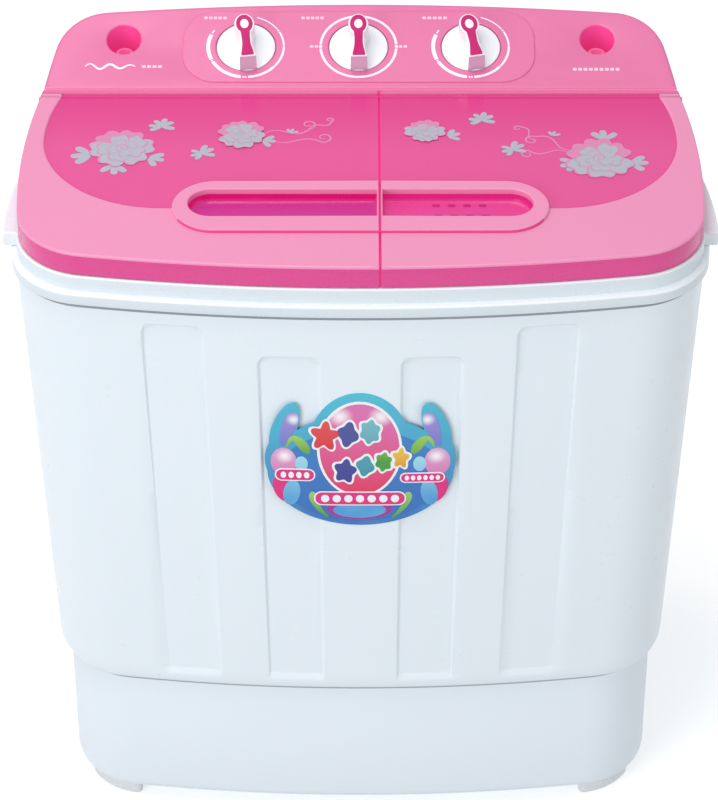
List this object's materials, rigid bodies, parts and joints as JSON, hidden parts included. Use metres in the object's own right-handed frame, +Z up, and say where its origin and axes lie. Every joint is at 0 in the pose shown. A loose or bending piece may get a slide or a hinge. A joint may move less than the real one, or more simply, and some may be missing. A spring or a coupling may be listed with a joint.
{
  "type": "twin tub washer",
  "caption": "Compact top-loading washing machine with a wash tub and a spin basket side by side, hinged tinted lids, a sloping control panel and a moulded case.",
  "frame": {"origin": "on the floor under the middle of the machine's box", "axes": "+X to the user's right, +Y to the back, +Z up; the front faces -Y"},
  "size_m": [0.597, 0.365, 0.6716],
  "materials": {
    "shell_white": "glossy moulded polypropylene, faint vertical ribs",
    "base_white": "satin moulded polypropylene",
    "tub_white": "glossy moulded tub",
    "grip_white": "glossy moulded grip",
    "panel_pink": "glossy opaque pink",
    "bezel_pink": "glossy opaque light pink",
    "lid_clear_pink": "tinted translucent plastic",
    "knob_white": "glossy white",
    "inlay_pink": "glossy magenta",
    "badge_print": "printed and clear coated",
    "cover_white": "satin sheet",
    "rubber_black": "moulded rubber",
    "rubber_foot": "pale grey moulded feet",
    "hose_grey": "corrugated hose",
    "steel": "ground steel",
    "zinc": "zinc plated",
    "motor_black": "black paint",
    "aluminium": "die cast",
    "bronze": "sintered bronze",
    "timer_grey": "moulded block",
    "cable_black": "cable jacket",
    "spring_steel": "wire"
  },
  "bodies": {
    "root": {"base_tray": "base_white", "feet": "rubber_foot", "outer_shell": "shell_white", "back_cover": "cover_white", "back_cover_screws": "zinc", "front_badge": "badge_print", "twin_tub": "tub_white", "left_side_grip": "grip_white", "right_side_grip": "grip_white", "overflow_cover": "tub_white", "hinge_blocks": "panel_pink", "console": "panel_pink", "wash_timer": "timer_grey", "drain_selector": "timer_grey", "spin_timer": "timer_grey", "inlet_spigots": "panel_pink", "pulsator_seal": "rubber_black", "bearing_housing": "aluminium", "shaft_bushes": "bronze", "drive_belt": "rubber_black", "wash_motor_housing": "motor_black", "wash_motor_bracket": "zinc", "motor_capacitors": "cover_white", "spin_motor_housing": "motor_black", "spin_motor_carrier": "zinc", "suspension_springs": "spring_steel", "spin_bellows": "rubber_black", "brake_pivot_pin": "steel", "brake_cable": "cable_black", "lid_switch": "timer_grey", "drain_valve_body": "hose_grey", "drain_valve_spring": "spring_steel", "drain_pipes": "hose_grey", "drain_hose": "hose_grey", "power_cord": "cable_black", "wire_harness": "cable_black"},
    "wash_lid": {"wash_lid": "lid_clear_pink", "wash_lid_bezel": "bezel_pink", "wash_lid_hinge_pins": "steel"},
    "spin_lid": {"spin_lid": "lid_clear_pink", "spin_lid_bezel": "bezel_pink", "spin_lid_hinge_pins": "steel"},
    "wash_timer_knob": {"wash_timer_knob": "knob_white", "wash_timer_knob_inlay": "inlay_pink"},
    "drain_selector_knob": {"drain_selector_knob": "knob_white", "drain_selector_knob_inlay": "inlay_pink"},
    "spin_timer_knob": {"spin_timer_knob": "knob_white", "spin_timer_knob_inlay": "inlay_pink"},
    "pulsator": {"pulsator": "tub_white", "pulsator_shaft": "steel", "driven_pulley": "aluminium"},
    "wash_motor_rotor": {"wash_motor_rotor": "steel", "motor_pulley": "aluminium"},
    "spin_basket": {"spin_basket": "tub_white", "spin_press_plate": "tub_white", "spin_shaft": "steel", "brake_drum": "aluminium", "spin_motor_rotor": "steel"},
    "brake_lever": {"brake_lever": "zinc"},
    "drain_valve": {"drain_valve_plug": "rubber_black"}
  },
  "joints": [
    {"name": "wash_lid_hinge", "type": "hinge", "parent": "root", "child": "wash_lid", "pos_m": [-0.136, 0.0785, 0.618], "axis": [-1, 0, 0], "range_deg": [0, 95]},
    {"name": "spin_lid_hinge", "type": "hinge", "parent": "root", "child": "spin_lid", "pos_m": [0.152, 0.0785, 0.618], "axis": [-1, 0, 0], "range_deg": [0, 95]},
    {"name": "wash_timer_turn", "type": "hinge", "parent": "root", "child": "wash_timer_knob", "pos_m": [-0.1005, 0.1305, 0.64354], "axis": [0, 0.3529, -0.9357], "range_deg": [0, 300]},
    {"name": "spin_timer_turn", "type": "hinge", "parent": "root", "child": "spin_timer_knob", "pos_m": [0.0969, 0.1305, 0.64354], "axis": [0, 0.3529, -0.9357], "range_deg": [0, 300]},
    {"name": "drain_selector_turn", "type": "hinge", "parent": "root", "child": "drain_selector_knob", "pos_m": [-0.0018, 0.1305, 0.64354], "axis": [0, 0.3529, -0.9357], "range_deg": [-90, 90]},
    {"name": "drain_valve_lift", "type": "slide", "parent": "root", "child": "drain_valve", "axis": [0, 0, 1], "range_m": [-0.006, 0.006], "deforming": ["drain_valve_spring"]},
    {"name": "pulsator_spin", "type": "hinge", "parent": "root", "child": "pulsator", "pos_m": [-0.127, -0.036, 0.2], "axis": [0, 0, 1], "continuous": true},
    {"name": "wash_motor_spin", "type": "hinge", "parent": "root", "child": "wash_motor_rotor", "pos_m": [-0.127, 0.069, 0.08], "axis": [0, 0, 1], "continuous": true},
    {"name": "spin_basket_spin", "type": "hinge", "parent": "root", "child": "spin_basket", "pos_m": [0.141, -0.036, 0.2], "axis": [0, 0, 1], "continuous": true},
    {"name": "brake_lever_swing", "type": "hinge", "parent": "root", "child": "brake_lever", "pos_m": [0.092, 0.018, 0.162], "axis": [0, 0, -1], "range_deg": [0, 2.1]}
  ],
  "couplings": [
    {"joint": "drain_valve_lift", "follows": "drain_selector_turn", "m_per_rad": 0.0038197},
    {"joint": "wash_motor_spin", "follows": "pulsator_spin", "ratio": 4},
    {"joint": "brake_lever_swing", "follows": "spin_lid_hinge", "ratio": 0.022104}
  ]
}
